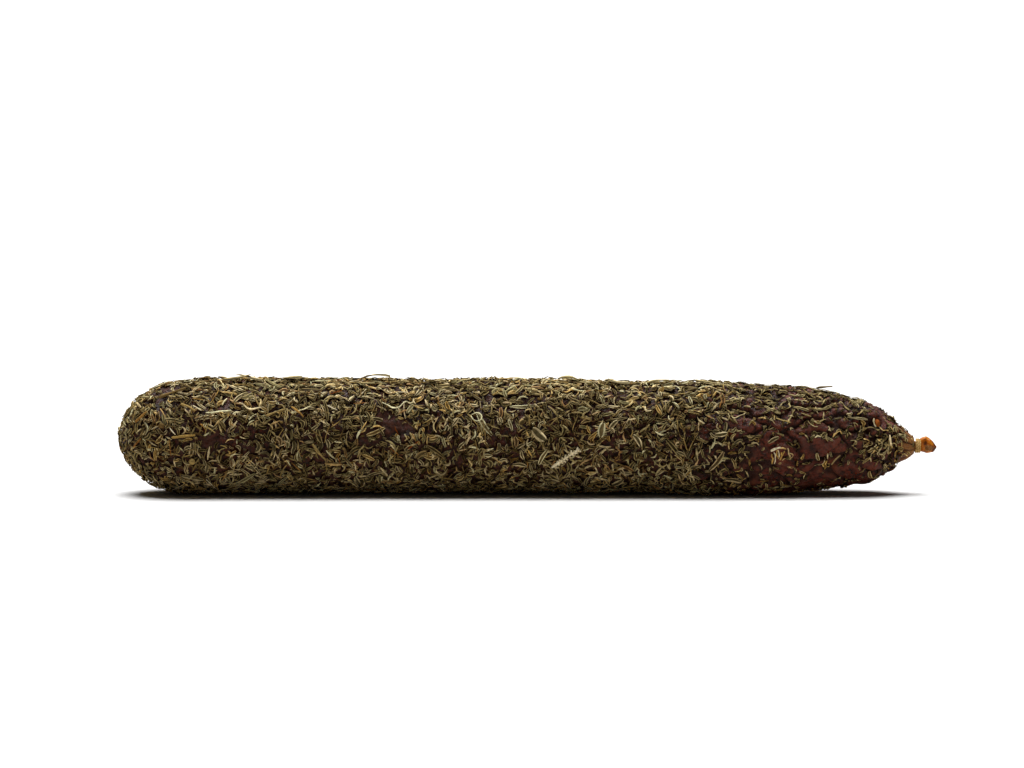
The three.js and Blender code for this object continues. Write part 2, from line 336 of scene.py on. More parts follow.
def cellShare(place, look):
    bent = place + wanderAt(place / (6 * mm)) * 1.6 * mm
    cell = Vector((bent.x * 0.62, bent.y, bent.z)) / look["creaseSize"]
    distances = noise.voronoi(cell)[0]
    edge = 1 - smoothStep(distances[1] - distances[0], 0.0, 0.34)
    return edge * smoothStep(noise.noise(place / (14 * mm)), -0.25, 0.35)


def pleatShare(place, look):
    strength = smoothStep(place.x, neckLow.x - 30 * mm, neckLow.x - 5 * mm)
    if strength == 0:
        return 0.0
    y, z = middleAt(place.x)
    turn = math.atan2(place.z - z, place.y - y)
    wave = abs(math.sin(turn * look["pleats"] / 2 + 0.9 * noise.noise(place / (8 * mm))))
    return strength * (1 - wave) ** 2


def wrinkleHeight(place, look):
    lump = noise.fractal(place / look["lumpSize"], 0.9, 2.2, 2)
    along = Vector((place.x * 0.5, place.y, place.z)) / look["wrinkleSize"]
    wrinkle = noise.ridged_multi_fractal(along, 1.0, 2.1, 2, 0.9, 1.8) - 1.0
    return lump * look["lumpDepth"] + wrinkle * look["wrinkleDepth"]


def buildCasing(look):
    helper = addObject("casingRough", toMesh("casingRough", cadCopy("sausage_body")))
    remesh = helper.modifiers.new("evenFaces", "REMESH")
    remesh.mode = "VOXEL"
    remesh.voxel_size = look["voxel"]
    graph = bpy.context.evaluated_depsgraph_get()
    even = bpy.data.meshes.new_from_object(helper.evaluated_get(graph))
    bpy.data.objects.remove(helper)
    bm = bmesh.new()
    bm.from_mesh(even)
    for _ in range(look["smoothing"]):
        smoothAll(bm, 0.5)
    bm.normal_update()
    deep = bm.verts.layers.float.new("deep")
    bm.verts.layers.float.new("under")
    for vert in bm.verts:
        place = vert.co.copy()
        along = (place.x - low.x) / sausageLength
        y, z = middleAt(place.x)
        radius = math.hypot(place.y - y, place.z - z)
        plain = smoothStep(radius, 1.5 * mm, 9 * mm)
        bare = smoothStep(along, look["looseFrom"], look["looseFrom"] + 0.1)
        loose = 0.35 + 0.65 * bare
        folds = foldShare(place, look) * loose * plain
        cells = cellShare(place, look) * plain
        pleats = pleatShare(place, look) * min(1.0, radius / (4 * mm))
        height = wrinkleHeight(place, look) * plain
        full = look["coveredFullness"] + (look["fullness"] - look["coveredFullness"]) * bare
        full += look["bellyFullness"] * bare * smoothStep(-vert.normal.z, 0.2, 0.8)
        height += full * (1 - smoothStep(place.x, neckLow.x - 15 * mm, neckLow.x - 4 * mm))
        pitOpen, pitHeight = pitAt(place)
        height += pitHeight
        height -= folds * look["foldDepth"] + cells * look["creaseDepth"] + pleats * look["pleatDepth"]
        vert.co += vert.normal * height
        vert.co.z = max(vert.co.z, 0.1 * mm)
        crest = smoothStep(noise.noise(place / (4.2 * mm)), 0.05, 0.5)
        # deep: how far a point lies in a fold, crease, pleat or the open seed pit, which the material
        # darkens as painted shade; random noise patches outside the folds go below zero for the crest colour
        creased = 0.9 * folds + 0.5 * cells + 0.5 * pleats + pitOpen
        vert[deep] = min(1.0, creased) - 0.8 * crest * (1 - folds)
    smoothAll(bm, 0.3)
    bm.normal_update()
    material = casingMaterial(look, "driedCasing", look["gloss"])
    piece = finishPiece("filledCasing", bm, material, ["sausage_body"])
    # A shaded copy of the skin with little gloss, for the faces under the herbs: painted shade on its
    # reflections
    piece.data.materials.append(casingMaterial(look, "coveredCasing", look["coveredGloss"]))
    return piece


casingPiece = buildCasing(casing)
print("casing:", len(casingPiece.data.polygons), "faces")


# the gathered skin that runs into the tie

def neckRing():
    places = placesOf(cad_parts["sausage_body"].data)
    part = places[(places[:, 0] > neckLow.x) & (places[:, 0] < neckHigh.x)]
    ringLow = part.min(axis=0)
    ringHigh = part.max(axis=0)
    return Vector((ringLow + ringHigh) / 2), (ringHigh[2] - ringLow[2]) / 2


neckCentre, neckRadius = neckRing()

gather = {
    "length": 10 * mm,
    "rows": 44,
    "sides": 132,
    "slope": 1.08,
    "radius": 2.35 * mm,
    "pleats": 11,
    "pleatDepth": 0.42 * mm,
}


def buildGather(look, material):
    bm = bmesh.new()
    bmesh.ops.create_grid(bm, x_segments=look["rows"], y_segments=look["sides"], size=0.5)
    deep = bm.verts.layers.float.new("deep")
    bm.verts.layers.float.new("under")
    for vert in bm.verts:
        t = vert.co.x + 0.5
        turn = vert.co.y * 2 * math.pi
        back = (1 - t) * look["length"]
        x = neckLow.x + 0.25 * mm - back
        y, z = middleAt(x)
        blend = smoothStep(back, 0, 9 * mm)
        y = neckCentre.y + (y - neckCentre.y) * blend
        z = neckCentre.z + (z - neckCentre.z) * blend
        spot = Vector((x, math.cos(turn) * 6 * mm, math.sin(turn) * 6 * mm))
        wander = noise.noise(spot / (5 * mm)) * 1.1
        wave = abs(math.sin(turn * look["pleats"] / 2 + wander))
        radius = look["radius"] + look["slope"] * back - 0.07 / mm * back * back
        radius -= look["pleatDepth"] * (1 - wave) ** 2 * (1 + back / (5 * mm))
        radius += 0.22 * mm * noise.noise(spot / (1.8 * mm))
        if t > 0.999 or t < 0.001:
            radius = 0.4 * radius
        vert.co = (x, y + math.cos(turn) * radius, z + math.sin(turn) * radius)
        # deep marks the pleat valleys, which the skin's material darkens as painted shade
        vert[deep] = 0.8 * (1 - wave) ** 2
    bmesh.ops.remove_doubles(bm, verts=bm.verts, dist=0.002 * mm)
    bmesh.ops.holes_fill(bm, edges=[edge for edge in bm.edges if edge.is_boundary])
    bmesh.ops.recalc_face_normals(bm, faces=bm.faces)
    return finishPiece("gatheredSkin", bm, material, ["sausage_body"])


gatherPiece = buildGather(gather, casingPiece.data.materials[0])
print("gathered skin:", len(gatherPiece.data.polygons), "faces")


# The skin that the herbs lie on, as points with a height of herbs above each

class HerbBed:
    def __init__(self, piece):
        mesh = piece.data
        count = len(mesh.vertices)
        self.place = placesOf(mesh)
        self.normal = np.array([v.vector for v in mesh.vertex_normals])
        self.height = np.zeros(count)
        self.deep = np.zeros(count)
        mesh.attributes["deep"].data.foreach_get("value", self.deep)
        along = (self.place[:, 0] - low.x) / sausageLength
        self.loose = np.clip((along - 0.7) / 0.08, 0, 1)
        self.tree = KDTree(count)
        for index, co in enumerate(self.place):
            self.tree.insert(co, index)
        self.tree.balance()
        coat = cadCopy("herb_coat")
        self.coat = BVHTree.FromBMesh(coat)
        coat.free()
        self.raiseTo(gatherPiece)
        self.base = self.height.copy()

    # Where the gathered skin covers the casing, herbs start from its surface
    def raiseTo(self, cover):
        bm = bmesh.new()
        bm.from_mesh(cover.data)
        tree = BVHTree.FromBMesh(bm)
        bm.free()
        for index in np.nonzero(self.place[:, 0] > neckLow.x - gather["length"])[0]:
            hit = tree.ray_cast(Vector(self.place[index]), Vector(self.normal[index]), 3 * mm)
            if hit[0] is not None:
                self.height[index] = hit[3]

    def near(self, co, reach):
        return np.array([found[1] for found in self.tree.find_range(co, reach)])

    def covered(self, co, normal):
        hit = self.coat.ray_cast(Vector(co), Vector(normal), 4 * mm)
        return hit[0] is not None


bed = HerbBed(casingPiece)
print("herb bed:", len(bed.height), "points")

herbs = {
    "seed": 11,
    "attempts": 100000, # most of them find their place taken
    "coatTop": 1.24 * mm, # no herb is laid with its top above this
    "pressed": 1.32 * mm, # tips above this are pressed back
    "thickness": 0.15 * mm,
    "piecesAlong": 10, # the leaves are joined into this many pieces
    "floor": 0.03 * mm, # nothing dips below it
    "thinFrom": (0.68, 0.79), # share of the length where the coat gives way to bare skin
    "bareShare": 0.07, # herbs kept in the openings of the coat
    "looseShare": 0.45, # and past its edge at the tied end
    "bareSpots": [(16, -9, 34, 3.5, 0.15), (28, -13, 33, 2.6, 0.35), (39, -14, 32, 2.6, 0.35),
                  (89, -17, 27, 2.2, 0.3)], # mm from the blind end, y, z, reach, share kept
    "topRise": 1.0 * mm, # how far leaf tips may stand over the CAD box
    "rolled": {"share": 0.44, "variants": 28, "length": (2.2, 4.4), "width": (1.5, 2.5), "roll": (2.6, 4.6),
               "curl": 1.1},
    "open": {"share": 0.14, "variants": 14, "length": (2.4, 4.6), "width": (1.0, 1.7), "roll": (0.9, 1.9),
             "curl": 0.9},
    "strap": {"share": 0.03, "variants": 8, "length": (6.0, 10.0), "width": (1.2, 1.9), "roll": (0.8, 2.0),
              "curl": 0.5},
    "strand": {"share": 0.2, "variants": 24, "length": (2.0, 4.4), "width": (0.5, 0.88), "curl": 1.5},
    "crumb": {"share": 0.11, "variants": 10, "length": (1.0, 2.2), "width": (0.8, 1.4), "roll": (0.8, 3.0),
              "curl": 0.9},
    "stalk": {"share": 0.06, "variants": 8, "length": (3.0, 7.0), "width": (0.35, 0.6), "curl": 0.4},
    "bud": {"share": 0.03, "variants": 5, "length": (0.8, 1.5), "width": (0.7, 1.1)},
    "bladeTones": [
        (0.0, (0.02, 0.011, 0.003)), (0.14, (0.031, 0.021, 0.007)), (0.28, (0.049, 0.036, 0.011)),
        (0.42, (0.1, 0.08, 0.036)), (0.56, (0.08, 0.062, 0.025)), (0.68, (0.07, 0.034, 0.011)),
        (0.78, (0.125, 0.103, 0.042)), (0.9, (0.15, 0.108, 0.045)), (1.0, (0.21, 0.12, 0.026))],
    # rim colours: partly the paler underside rolled over at the margins, partly a painted highlight along
    # the rims
    "rimTones": [
        (0.0, (0.16, 0.112, 0.044)), (0.14, (0.36, 0.272, 0.115)), (0.28, (0.52, 0.415, 0.185)),
        (0.42, (0.59, 0.48, 0.265)), (0.56, (0.85, 0.7, 0.4)), (0.68, (0.45, 0.25, 0.095)),
        (0.78, (0.4, 0.34, 0.15)), (0.9, (0.9, 0.85, 0.52)), (1.0, (0.76, 0.47, 0.125))],
    "stalkTones": [
        (0.0, (0.07, 0.042, 0.016)), (0.3, (0.19, 0.118, 0.04)), (0.55, (0.4, 0.285, 0.105)),
        (0.64, (0.46, 0.29, 0.08)), (0.69, (0.36, 0.15, 0.035)), (0.72, (0.27, 0.065, 0.01)),
        (0.77, (0.47, 0.28, 0.075)), (0.88, (0.74, 0.62, 0.37)), (0.94, (1.0, 0.9, 0.64)),
        (1.0, (0.7, 0.43, 0.12))],
}
herbKinds = ("rolled", "open", "strap", "strand", "crumb", "stalk", "bud")
toneWidth = 0.012 # how much of the tone scale one leaf spans


# Colours come from the piece's own map: along it lie the tones, across it the leaf from rim to rim
def herbMaterial(name, tones, rimTones):
    material, tree, shader = newMaterial(name)
    leafMap = addNode(tree, "ShaderNodeUVMap", uv_map="OFBake").outputs["UV"]
    parts = addNode(tree, "ShaderNodeSeparateXYZ", {0: leafMap}).outputs
    tone = addRamp(tree, parts["X"], tones)
    rimTone = addRamp(tree, parts["X"], rimTones)
    stretch = {0: leafMap, 1: (300.0, 3.4, 1.0)} # streaks run along the leaf
    stretched = addNode(tree, "ShaderNodeVectorMath", stretch, operation="MULTIPLY").outputs[0]
    streaks = addNode(tree, "ShaderNodeTexNoise", {
        "Vector": stretched, "Scale": 1.0, "Detail": 4.0, "Roughness": 0.65}).outputs["Fac"]
    across = multiply(tree, parts["Y"], 2.0, -1.0)
    fromMiddle = addNode(tree, "ShaderNodeMath", {0: across}, operation="ABSOLUTE").outputs[0]
    # Towards both edges a leaf takes its rim tones: partly paler margins, partly a painted highlight; stalks
    # use one set of tones for both
    rim = remap(tree, fromMiddle, 0.34, 0.74)
    colour = mixColour(tree, rim, tone, rimTone)
    shade = remap(tree, streaks, 0.3, 0.72, 0.5, 1.4)
    grey = addNode(tree, "ShaderNodeCombineXYZ", {0: shade, 1: shade, 2: shade}).outputs[0]
    colour = mixColour(tree, 1.0, colour, grey, "MULTIPLY")
    bump = addNode(tree, "ShaderNodeBump", {"Strength": 0.4, "Distance": 0.12 * mm, "Height": streaks})
    feedAll(tree, shader, {
        "Base Color": colour, "Roughness": 0.6, "Normal": bump.outputs["Normal"],
        "Specular IOR Level": 0.03})
    return material


leafMaterial = herbMaterial("driedLeaf", herbs["bladeTones"], herbs["rimTones"])
stalkMaterial = herbMaterial("driedStalk", herbs["stalkTones"], herbs["stalkTones"])


# Flat herb shapes lie along +X with their lowest point at z = 0

def setDown(bm):
    lowest = min(vert.co.z for vert in bm.verts)
    bmesh.ops.translate(bm, vec=(0, 0, -lowest), verts=bm.verts)


# A curled centre line with its middle at the origin: gives the place at t from 0 to 1, y aside, z up
def curledLine(length, curl, wave, arch, steps=24):
    line = [Vector((0, 0, 0))]
    headings = []
    step = length / steps
    for i in range(steps + 1):
        t = i / steps
        heading = curl * (t - 0.5) + wave * math.sin(2 * math.pi * t)
        headings.append(heading)
        if i < steps:
            line.append(line[-1] + Vector((math.cos(heading) * step, math.sin(heading) * step, 0)))
    middle = sum(line, Vector()) / len(line)
    for i, place in enumerate(line):
        t = i / steps
        place -= middle
        place.z = -arch * length * 4 * (t - 0.5) ** 2

    def at(t, y, z):
        spot = min(max(t, 0.0), 1.0) * steps
        first = min(int(spot), steps - 1)
        part = spot - first
        heading = headings[first] * (1 - part) + headings[first + 1] * part
        offset = Vector((-math.sin(heading) * y, math.cos(heading) * y, z))
        return line[first].lerp(line[first + 1], part) + offset

    return at


def mapFaces(bm, along, across, vLow=0.0, vHigh=1.0):
    leafMap = bm.loops.layers.uv.new("OFBake")
    for face in bm.faces:
        for loop in face.loops:
            u = loop.vert[along] * toneWidth * 0.8
            v = vLow + (vHigh - vLow) * (0.5 + 0.5 * loop.vert[across])
            loop[leafMap].uv = (u, v)
    return leafMap


# A thin leaf with margins rolled up over its groove, or down when it lies on its face
def leafShape(rng, length, width, roll, curl, thickness, rows=6, columns=4):
    bm = bmesh.new()
    bmesh.ops.create_grid(bm, x_segments=rows, y_segments=columns, size=0.5)
    along = bm.verts.layers.float.new("along")
    across = bm.verts.layers.float.new("across")
    centre = curledLine(length, rng.gauss(0, 0.5) * curl, rng.gauss(0, 0.28) * curl, rng.uniform(-0.1, 0.14))
    twist = rng.uniform(-1.0, 1.0)
    blunt = rng.uniform(0.4, 0.8)
    ripple = rng.uniform(0.01, 0.06) * width
    phase = rng.uniform(0, 6.3)
    for vert in bm.verts:
        t = vert.co.x + 0.5
        s = vert.co.y * 2
        vert[along] = t
        vert[across] = s
        half = width / 2 * (0.14 + 0.86 * math.sin(math.pi * (0.04 + 0.92 * t)) ** blunt)
        angle = s * roll / 2
        radius = half / max(roll / 2, 0.2)
        y = radius * math.sin(angle)
        z = radius * (1 - math.cos(angle)) + ripple * math.sin(7 * t + phase + 2 * s)
        turn = twist * (t - 0.5)
        y, z = y * math.cos(turn) - z * math.sin(turn), y * math.sin(turn) + z * math.cos(turn)
        vert.co = centre(t, y, z)
    bmesh.ops.solidify(bm, geom=bm.faces[:], thickness=thickness)
    mapFaces(bm, along, across)
    bmesh.ops.recalc_face_normals(bm, faces=bm.faces)
    if rng.random() < 0.25:
        bmesh.ops.rotate(bm, verts=bm.verts, cent=(0, 0, 0), matrix=Matrix.Rotation(math.pi, 3, "X"))
    setDown(bm)
    return bm


# A closed, tapering rod rolled from a grid; vLow..vHigh is its stretch across the map
def rodShape(rng, length, width, curl, rows=7, sides=5, vLow=0.1, vHigh=0.9, taper=0.25, bend=None,
             pointed=False):
    bm = bmesh.new()
    bmesh.ops.create_grid(bm, x_segments=rows, y_segments=sides, size=0.5)
    along = bm.verts.layers.float.new("along")
    across = bm.verts.layers.float.new("across")
    for vert in bm.verts:
        vert[along] = vert.co.x + 0.5
        vert[across] = vert.co.y * 2
    mapFaces(bm, along, across, vLow, vHigh)
    bend = rng.gauss(0, 0.6) * curl if bend is None else bend
    centre = curledLine(length, bend, rng.gauss(0, 0.25) * curl, rng.uniform(-0.05, 0.07))
    phase = rng.uniform(0, 6.3)
    for vert in bm.verts:
        t = vert[along]
        turn = vert[across] * math.pi
        end = min(t, 1 - t) * rows
        if end < 0.01:
            radius = 0
            t = 0.5 + (t - 0.5) * 0.99
        else:
            radius = width / 2 * (1 - taper * t) * (1 + 0.16 * math.sin(9 * t + phase))
            if pointed:
                radius *= math.sin(math.pi * t) ** 0.6
            if end < 1.01:
                radius *= 0.8
                t = 0.03 if t < 0.5 else 0.97
        vert.co = centre(t, radius * math.cos(turn), radius * math.sin(turn) * 0.85)
    bmesh.ops.remove_doubles(bm, verts=bm.verts, dist=0.001 * mm)
    bmesh.ops.recalc_face_normals(bm, faces=bm.faces)
    setDown(bm)
    return bm


def budShape(rng, length, width, subdivisions=1):
    bm = bmesh.new()
    bmesh.ops.create_icosphere(bm, subdivisions=subdivisions, radius=0.5)
    leafMap = bm.loops.layers.uv.new("OFBake")
    for face in bm.faces:
        for loop in face.loops:
            co = loop.vert.co
            loop[leafMap].uv = (toneWidth * (0.5 + 0.8 * co.x + 0.1 * co.z), 0.5 + 0.6 * co.y + 0.15 * co.z)
    shift = Vector((rng.uniform(0, 9), 0, 0))
    for vert in bm.verts:
        rough = 1 + 0.22 * noise.noise(vert.co * 4 + shift)
        vert.co = Vector((vert.co.x * length, vert.co.y * width, vert.co.z * width * 0.85)) * rough
    setDown(bm)
    return bm


class Shape:
    def __init__(self, kind, bm):
        self.kind = kind
        tops = sorted(vert.co.z for vert in bm.verts)
        self.rise = tops[int(len(tops) * 0.9)]
        ends = [vert.co.x for vert in bm.verts]
        sides = [vert.co.y for vert in bm.verts]
        self.length = max(ends) - min(ends)
        self.reach = (max(sides) - min(sides)) / 2
        self.mesh = toMesh(kind, bm)
        self.loops = len(self.mesh.loops)


def makeShapes(look, rng):
    shapes = {}
    for kind in herbKinds:
        options = look[kind]
        shapes[kind] = []
        for _ in range(options["variants"]):
            length = rng.uniform(*options["length"]) * mm
            width = rng.uniform(*options["width"]) * mm
            if kind == "strand":
                bm = rodShape(rng, length, width, options["curl"], vLow=0.7, vHigh=0.98, pointed=True)
            elif kind == "stalk":
                bm = rodShape(rng, length, width, options["curl"])
            elif kind == "bud":
                bm = budShape(rng, length, width)
            else:
                roll = rng.uniform(*options["roll"])
                bm = leafShape(rng, length, width, roll, options["curl"], look["thickness"])
            shapes[kind].append(Shape(kind, bm))
    return shapes


def headingAt(normal, heading):
    side = normal.cross(Vector((1, 0, 0)))
    if side.length < 0.2:
        side = normal.cross(Vector((0, 1, 0)))
    side.normalize()
    ahead = side.cross(normal).normalized()
    return (ahead * math.cos(heading) + side * math.sin(heading)).normalized()


# Lays a shape on the heap at one skin point; a forced one may lie on top of the coat
def layShape(bed, shape, index, heading, look, force=False):
    co = bed.place[index]
    near = bed.near(co, shape.length / 2 + 0.3 * mm)
    normal = Vector(bed.normal[near].mean(axis=0)).normalized()
    if isinstance(heading, Vector):
        direction = (heading - heading.dot(normal) * normal).normalized()
    else:
        direction = headingAt(normal, heading)
    cross = normal.cross(direction).normalized()
    offset = bed.place[near] - co
    u = offset @ np.array(direction)
    v = offset @ np.array(cross)
    w = offset @ np.array(normal)
    under = (np.abs(u) < shape.length / 2) & (np.abs(v) < shape.reach * 0.85 + 0.15 * mm)
    if under.sum() < 2:
        return None
    rise = bed.height[near] + w
    third = shape.length / 6
    parts = (u < -third, u > third, np.abs(u) <= third)
    leftHigh, rightHigh, centreHigh = [rise[under & part].max() if (under & part).any() else 0.0
                                       for part in parts]
    slope = (rightHigh - leftHigh) / (shape.length * 0.66)
    slope = min(max(slope, -0.45), 0.45)
    base = max((leftHigh + rightHigh) / 2, centreHigh * 0.92)
    if not force and base + shape.rise > look["coatTop"] + bed.base[near[under]].max():
        return None
    sink = (0.14 if base > 0.2 * mm else 0.03 + 0.18 * bed.loose[index]) * mm
    top = base - sink + slope * u + shape.rise * 0.68 - w
    bed.height[near[under]] = np.maximum(bed.height[near[under]], top[under])
    tilted = (direction + normal * slope).normalized()
    return co, tilted, cross, normal, base - sink


def shapeMatrix(laid, roll=0.0, scale=1.0):
    co, direction, cross, normal, base = laid
    up = direction.cross(cross).normalized()
    cross = up.cross(direction).normalized()
    turn = Matrix((direction, cross, up)).transposed()
    place = Vector(co) + normal * base
    return Matrix.Translation(place) @ turn.to_4x4() @ Matrix.Rotation(roll, 4, "X") @ Matrix.Scale(scale, 4)


# Herbs lie thick up to the last third, which keeps them along its top, its underside and by the neck
def shareAt(bed, index, look, rng):
    normal = Vector(bed.normal[index])
    place = Vector(bed.place[index])
    if place.x > neckLow.x - 0.3 * mm or (place - seedPit).length < pit["clear"]:
        return 0.0
    blur = Vector((rng.gauss(0, 1), rng.gauss(0, 1), rng.gauss(0, 1))) * 0.8 * mm
    blurred = place + blur - blur.dot(normal) * normal
    along = (place.x - low.x) / sausageLength
    patch = smoothStep(noise.noise(place / (7.5 * mm)), -0.12, 0.3)
    loose = smoothStep(noise.noise(place / (8 * mm) + Vector((3, 8, 1))), 0.13, 0.42)
    loose *= 1 - smoothStep(normal.z, 0.7, 0.92)
    right = smoothStep(along + 0.07 * noise.noise(place / (9 * mm)), *look["thinFrom"])
    upper = smoothStep(normal.z, 0.34, 0.66) * (1 - smoothStep(along, 0.88, 0.93))
    lower = smoothStep(-normal.z, 0.6, 0.82) * (1 - smoothStep(along, 0.85, 0.92))
    byNeck = math.exp(-((place.x - neckLow.x + 11 * mm) / (8 * mm)) ** 2)
    byNeck *= smoothStep(normal.z, -0.35, 0.0) * (1 - smoothStep(normal.z, 0.45, 0.7))
    inCreases = 0.09 * max(0.0, bed.deep[index])
    thin = 0.014 + 0.06 * patch * patch + inCreases
    thin += upper * (0.3 + 0.6 * patch) + lower * (0.15 + 0.6 * patch) + 0.55 * byNeck
    share = (1 - right) * (1 - 0.72 * loose) + right * min(1.0, thin)
    for x, y, z, reach, kept in look["bareSpots"]:
        fromSpot = (place - Vector((low.x + x * mm, y * mm, z * mm))).length / mm
        share *= kept + (1 - kept) * smoothStep(fromSpot, reach, reach + 3.0)
    if not bed.covered(blurred, normal):
        share *= look["bareShare"] if along < 0.69 else look["looseShare"]
    return share


# Fields of yellower, greyer, darker and golden leaves drift over the coat
def pickTone(kind, place, bed, index, rng):
    tone = rng.random()
    hue = noise.noise(place / (16 * mm))
    dusk = noise.noise(place / (11 * mm) + Vector((2, 9, 4)))
    if hue > 0.12 and rng.random() < 0.3:
        tone = rng.uniform(0.72, 0.86)
    elif hue < -0.12 and rng.random() < 0.3:
        tone = rng.uniform(0.28, 0.6)
    if dusk > 0.1 and rng.random() < 0.5:
        tone = rng.uniform(0.0, 0.24)
    elif dusk < -0.12 and rng.random() < 0.16:
        tone = rng.uniform(0.95, 1.0)
    if bed.loose[index] > 0.5:
        golden = rng.random() < 0.4 - 0.5 * bed.normal[index][2] # more of them low down
        tone = rng.uniform(0.93, 1.0) if golden else rng.uniform(0.0, 0.42)
    if kind == "stalk":
        tone = rng.uniform(0.05, 0.6) if rng.random() < 0.85 else rng.uniform(0.6, 1.0)
    if kind == "bud":
        tone = rng.uniform(0.05, 0.45)
    return tone


def strewHerbs(bed, look, shapes, rng):
    weights = [look[kind]["share"] for kind in herbKinds]
    laid = []
    count = len(bed.height)
    for _ in range(look["attempts"]):
        index = rng.randrange(count)
        share = shareAt(bed, index, look, rng)
        if rng.random() > share:
            continue
        kind = rng.choices(herbKinds, weights)[0]
        if bed.place[index][0] < low.x + 34 * mm and rng.random() < 0.07:
            kind = "stalk"
        heading = 9 * noise.noise(Vector(bed.place[index]) / (8 * mm)) + rng.gauss(0, 0.75)
        scale = rng.uniform(0.82, 1.1) * (1 - 0.14 * bed.loose[index])
        if bed.normal[index][2] > 0.72 and share > 0.2 and rng.random() < 0.5:
            kind = "strap" if rng.random() < 0.25 else kind
            heading = rng.gauss(0, 0.35)
        elif share < 0.3:
            kind = rng.choice(("rolled", "rolled", "open", "strand", "crumb", "crumb"))
            scale *= 0.75
        shape = rng.choice(shapes[kind])
        place = layShape(bed, shape, index, heading, look)
        if place is None:
            continue
        matrix = shapeMatrix(place, rng.uniform(-0.3, 0.3), scale)
        if matrix.translation.z - shape.length * 0.2 < -0.25 * mm:
            continue
        laid.append((shape, matrix, pickTone(kind, matrix.translation, bed, index, rng)))
    return laid


def gatherShapes(laid):
    bm = bmesh.new()
    for shape, matrix, tone in laid:
        copy = shape.mesh.copy()
        copy.transform(matrix)
        bm.from_mesh(copy)
        bpy.data.meshes.remove(copy)
    return bm


# Tips that stand too far off the skin are pressed back towards it
def pressDown(places, limit):
    for spot in places:
        skin, index, distance = bed.tree.find(spot)
        top = limit * (1 - 0.72 * bed.loose[index]) + min(bed.base[index], 3 * mm)
        if distance > top:
            spot[:] = skin + (Vector(spot) - skin) * ((top + 0.25 * (distance - top)) / distance)


# Each herb's stretch of the map is moved to its own tone, and nothing dips under the floor
def tuneHerbs(piece, laid, look, press=True):
    mesh = piece.data
    leafMap = mesh.uv_layers["OFBake"].uv
    values = np.empty(len(leafMap) * 2, dtype=np.float32)
    leafMap.foreach_get("vector", values)
    tones = [np.full(shape.loops, tone * (1 - toneWidth)) for shape, matrix, tone in laid]
    values[0::2] += np.concatenate(tones).astype(np.float32)
    leafMap.foreach_set("vector", values)
    places = np.empty(len(mesh.vertices) * 3, dtype=np.float32)
    mesh.vertices.foreach_get("co", places)
    places = places.reshape(-1, 3)
    if press:
        pressDown(places, look["pressed"])
    places[:, 2] = np.maximum(places[:, 2], look["floor"])
    mesh.vertices.foreach_set("co", places.ravel())
    mesh.update()


rng = random.Random(herbs["seed"])
shapes = makeShapes(herbs, rng)
laidHerbs = strewHerbs(bed, herbs, shapes, rng)
print("herbs laid:", len(laidHerbs))

# Curls that catch the eye: distance from the blind end and height up the front, both in mm,
# then heading, length, width, bend and tone
curls = [
    (119.0, 28.5, 1.4, 10.0, 0.55, 5.4, 0.9), (251.0, 29.0, 0.0, 6.4, 0.55, -1.3, 0.1),
    (248.5, 17.0, 0.3, 7.0, 0.45, 5.0, 0.3), (243.0, 16.5, 1.9, 5.0, 0.4, 3.0, 0.24),
    (258.0, 13.5, 1.0, 6.0, 0.45, 1.6, 0.3), (259.0, 16.5, 0.3, 5.5, 0.4, -1.0, 0.76),
    (260.0, 14.5, 0.6, 4.5, 0.45, 0.8, 0.4), (256.0, 19.5, -0.6, 5.0, 0.45, 1.4, 0.76),
    (34.0, 32.0, 0.2, 9.0, 0.8, 0.5, 0.9), (45.0, 31.0, -0.2, 9.5, 0.7, -0.4, 0.55),
    (62.0, 31.0, 0.4, 7.0, 0.6, 0.4, 0.92), (92.0, 33.0, 0.1, 10.0, 0.7, 0.3, 0.88),
    (256.5, 16.0, 1.2, 5.5, 0.55, 0.8, 0.4), (258.5, 14.6, 0.9, 4.6, 0.45, 0.5, 0.34),
    (260.4, 19.4, -0.2, 3.6, 0.4, -1.6, 0.24), (261.3, 16.6, -0.3, 2.4, 0.5, 0.4, 0.98),
    (255.0, 22.0, -0.45, 4.6, 0.45, 0.3, 0.98), (228.0, 26.0, -0.5, 4.5, 0.4, 2.0, 0.32),
    (205.0, 30.0, 0.6, 6.0, 0.45, 2.4, 0.4), (216.0, 12.0, 0.9, 4.0, 0.3, 0.6, 0.4),
    (233.0, 11.0, 0.8, 5.5, 0.26, 0.2, 0.5),
]


def layCurls(bed, look, rng):
    laid = []
    for x, z, heading, length, width, bend, tone in curls:
        rod = rodShape(rng, length * mm, width * 0.85 * mm, 1.2, rows=14, vLow=0.78, vHigh=0.96, bend=bend)
        y = middleAt(low.x + x * mm)[0] - 20 * mm
        found = bed.tree.find(Vector((low.x + x * mm, y, z * mm)))
        shape = Shape("strand", rod)
        place = layShape(bed, shape, found[1], heading, look, force=True)
        laid.append((shape, shapeMatrix(place), tone))
    return laid


laidHerbs += layCurls(bed, herbs, rng)

# Flat leaves lying loose along the crown, some with a tip in the air: distance from the blind end,
# heading, length, width, roll and tone
crownLeaves = [
    (39.0, 0.1, 9.5, 2.6, 1.2, 0.2), (44.0, 3.0, 9.0, 2.2, 1.0, 0.5),
    (58.0, 0.15, 8.0, 2.4, 0.8, 0.36), (86.0, -0.1, 9.0, 2.6, 0.9, 0.45),
    (149.0, 3.2, 7.5, 2.4, 1.2, 0.3), (166.0, 3.0, 7.0, 2.2, 1.1, 0.44),
    (178.0, -0.1, 8.0, 2.2, 1.2, 0.28), (194.0, 3.1, 6.5, 2.0, 0.6, 0.3),
    (234.0, 0.05, 5.5, 2.0, 0.7, 0.04),
]
tipUp = 0.11 # radians that they are tipped up by


